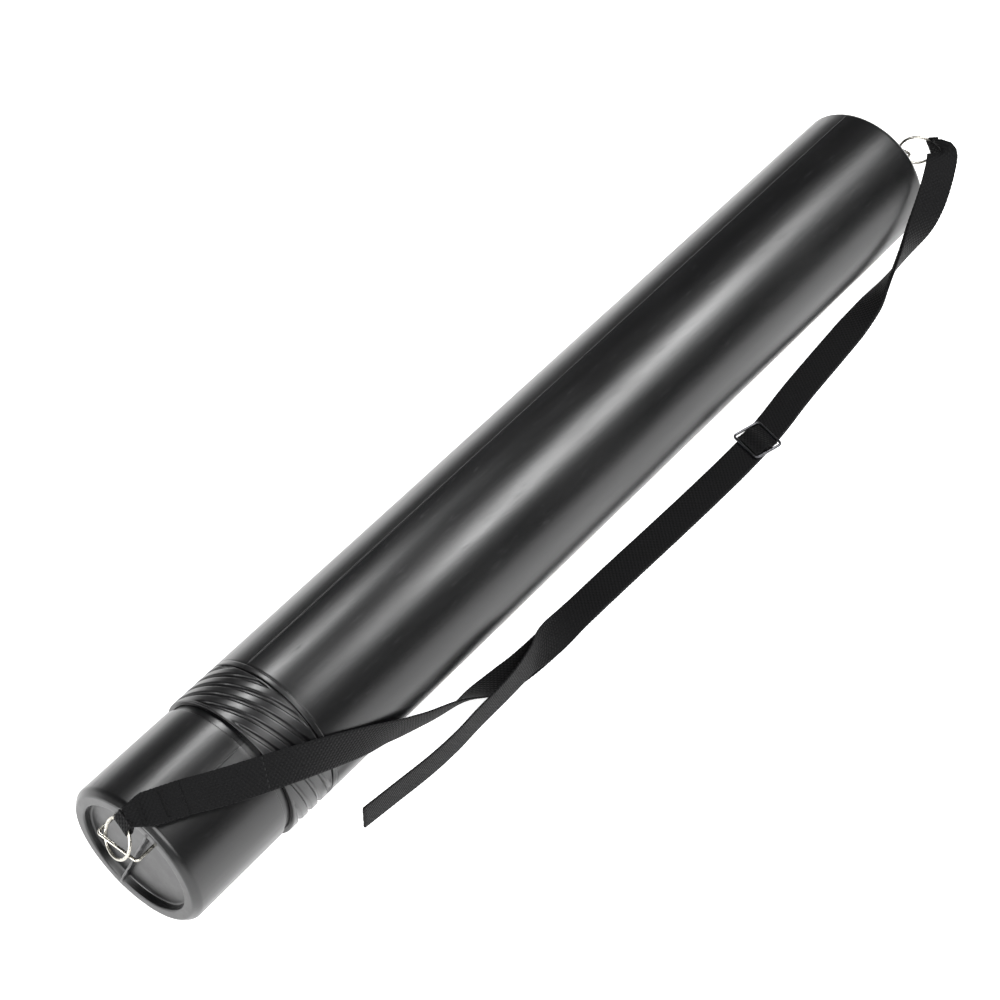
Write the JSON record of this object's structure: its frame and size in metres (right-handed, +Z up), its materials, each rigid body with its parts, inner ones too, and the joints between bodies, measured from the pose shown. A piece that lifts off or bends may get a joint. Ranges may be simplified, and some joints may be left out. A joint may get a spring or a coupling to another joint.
{
  "type": "drawing tube",
  "caption": "Telescopic drawing tube with a push-on cap, ribbed grip collar and an adjustable webbing strap held by wire rings.",
  "frame": {"origin": "on the floor under the middle of the closed tube", "axes": "+X along the tube from the cap to the closed base, +Z up, strap lying on the -Y side"},
  "size_m": [0.7035, 0.1194, 0.0948],
  "materials": {
    "outer_polyethylene": "satin blow-moulded",
    "inner_polyethylene": "satin blow-moulded",
    "cap_polyethylene": "satin blow-moulded",
    "strap_webbing": "woven",
    "sewing_thread": "twisted",
    "adjuster_wire": "black oxide",
    "fitting_wire": "nickel plated"
  },
  "bodies": {
    "outer": {"outer_tube": "outer_polyethylene", "base_bail": "fitting_wire", "base_bail_washers": "fitting_wire", "strap_front_run": "strap_webbing", "strap_back_run": "strap_webbing", "strap_return": "strap_webbing", "strap_tail": "strap_webbing"},
    "inner": {"inner_tube": "inner_polyethylene"},
    "cap_end": {"cap": "cap_polyethylene", "cap_bail": "fitting_wire", "cap_bail_washers": "fitting_wire", "strap_cap_run": "strap_webbing"},
    "cap_link": {"cap_ring": "fitting_wire", "strap_cap_loop": "strap_webbing", "strap_stitching": "sewing_thread"},
    "base_link": {"base_ring": "fitting_wire", "strap_base_fold": "strap_webbing"},
    "adjuster": {"slider_frame": "adjuster_wire", "slider_bar": "adjuster_wire", "strap_over_bar": "strap_webbing"}
  },
  "joints": [
    {"name": "extend", "type": "slide", "parent": "outer", "child": "inner", "axis": [-1, 0, 0], "range_m": [0, 0.44]},
    {"name": "cap_pull", "type": "slide", "parent": "inner", "child": "cap_end", "axis": [-1, 0, 0], "range_m": [0, 0.062]},
    {"name": "cap_ring_swing", "type": "hinge", "parent": "cap_end", "child": "cap_link", "pos_m": [-0.3423, -0.00325, 0.0723], "axis": [0, -1, 0], "range_deg": [0, 80]},
    {"name": "base_ring_swing", "type": "hinge", "parent": "outer", "child": "base_link", "pos_m": [0.3423, -0.0105, 0.0663], "axis": [0, 1, 0], "range_deg": [0, 70]},
    {"name": "adjuster_slide", "type": "slide", "parent": "outer", "child": "adjuster", "axis": [-0.9998, 0.022, 0], "range_m": [-0.015, 0.145]}
  ]
}
